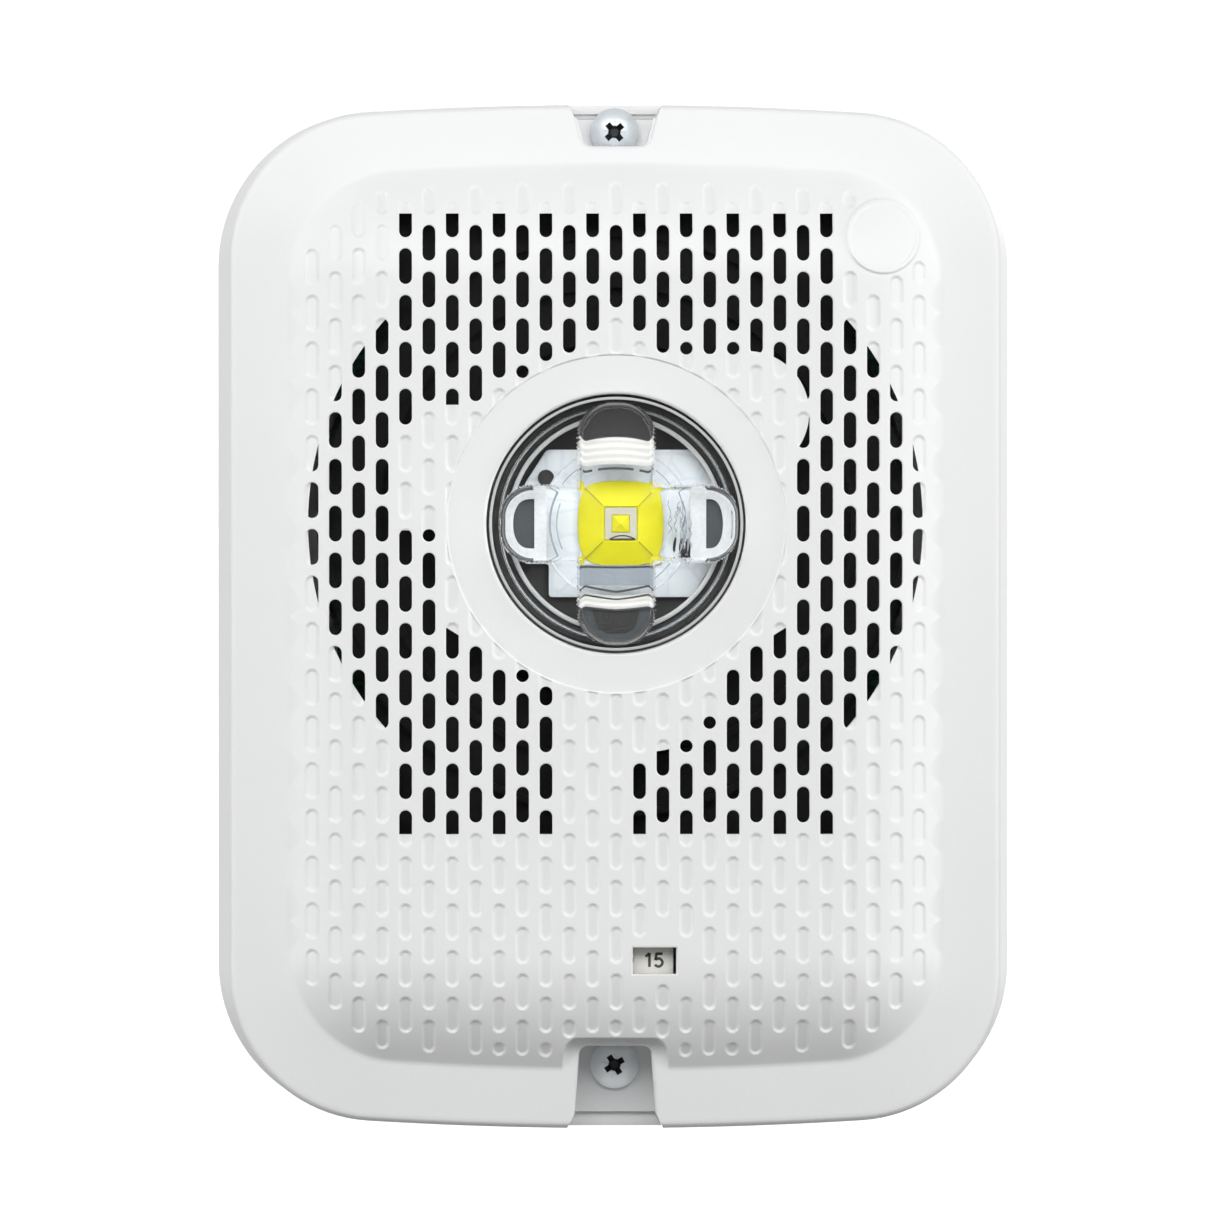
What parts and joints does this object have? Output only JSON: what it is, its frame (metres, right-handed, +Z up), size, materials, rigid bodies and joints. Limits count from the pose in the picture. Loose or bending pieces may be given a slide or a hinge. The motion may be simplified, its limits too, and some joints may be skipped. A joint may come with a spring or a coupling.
{
  "type": "horn strobe",
  "caption": "Wall-mounted fire alarm horn strobe: perforated white cover, round clear strobe lens, plug-in mounting plate with screw terminals, captive screws.",
  "frame": {"origin": "centre of the mounting plate's back face, on the wall", "axes": "+Z up the wall, -Y out of the wall towards the viewer, +X to the viewer's right"},
  "size_m": [0.111, 0.0318, 0.142],
  "materials": {
    "cover_white": "fine satin moulded polycarbonate",
    "lens_clear": "clear moulded polycarbonate",
    "dark_plastic": "matt moulded",
    "led_board_white": "white solder mask",
    "led_package": "white package",
    "phosphor": "yellow phosphor silicone",
    "zinc_steel": "zinc plated, bluish",
    "brass": "bright",
    "tinned_copper": "tin plated",
    "piezo_ceramic": "silvered ceramic",
    "circuit_board": "green solder mask",
    "capacitor_sleeve": "heat-shrunk sleeve",
    "grey_plastic": "moulded",
    "blue_plastic": "moulded",
    "ivory_plastic": "moulded",
    "label_paper": "blank printed label stock"
  },
  "bodies": {
    "wall_plate": {"mounting_plate": "cover_white", "terminal_block": "dark_plastic", "shorting_spring": "tinned_copper", "terminal_contact_1": "brass", "terminal_contact_2": "brass", "terminal_contact_3": "brass", "terminal_contact_4": "brass", "terminal_clamp_1": "tinned_copper", "terminal_clamp_2": "tinned_copper", "terminal_clamp_3": "tinned_copper", "terminal_clamp_4": "tinned_copper", "terminal_screw_1": "zinc_steel", "terminal_screw_2": "zinc_steel", "terminal_screw_3": "zinc_steel", "terminal_screw_4": "zinc_steel"},
    "appliance": {"front_cover": "cover_white", "lens": "lens_clear", "strobe_baffle": "dark_plastic", "led_board": "led_board_white", "led_board_screw_1": "zinc_steel", "led_board_screw_2": "zinc_steel", "led_package": "led_package", "led_phosphor": "phosphor", "horn_back_plate": "dark_plastic", "horn_diaphragm": "brass", "piezo_element": "piezo_ceramic", "horn_body": "dark_plastic", "main_board": "circuit_board", "plug_pin_1": "tinned_copper", "plug_pin_2": "tinned_copper", "plug_pin_3": "tinned_copper", "plug_pin_4": "tinned_copper", "pin_header": "dark_plastic", "flash_capacitor_1": "capacitor_sleeve", "flash_capacitor_2": "capacitor_sleeve", "inductor": "dark_plastic", "controller_chip": "dark_plastic", "candela_switch": "grey_plastic", "tone_switch": "blue_plastic", "rear_cover": "cover_white", "rear_cover_screw_1": "zinc_steel", "rear_cover_screw_2": "zinc_steel", "rear_cover_screw_3": "zinc_steel", "rear_cover_screw_4": "zinc_steel", "rating_label": "label_paper"},
    "candela_slider": {"candela_slider": "cover_white"},
    "tone_selector": {"tone_selector": "ivory_plastic"},
    "captive_screw_top": {"captive_screw_top": "zinc_steel"},
    "captive_screw_bottom": {"captive_screw_bottom": "zinc_steel"}
  },
  "joints": [
    {"name": "unplug", "type": "slide", "parent": "wall_plate", "child": "appliance", "axis": [0, -1, 0], "range_m": [0, 0.045]},
    {"name": "candela_slide", "type": "slide", "parent": "appliance", "child": "candela_slider", "axis": [1, 0, 0], "range_m": [0, 0.0264]},
    {"name": "tone_turn", "type": "hinge", "parent": "appliance", "child": "tone_selector", "pos_m": [0.024, -0.0085, -0.022], "axis": [0, 1, 0], "range_deg": [0, 324]},
    {"name": "top_screw_turn", "type": "hinge", "parent": "appliance", "child": "captive_screw_top", "pos_m": [0, -0.005, 0.0672], "axis": [0, -1, 0], "continuous": true},
    {"name": "bottom_screw_turn", "type": "hinge", "parent": "appliance", "child": "captive_screw_bottom", "pos_m": [0, -0.005, -0.0624], "axis": [0, -1, 0], "continuous": true}
  ]
}
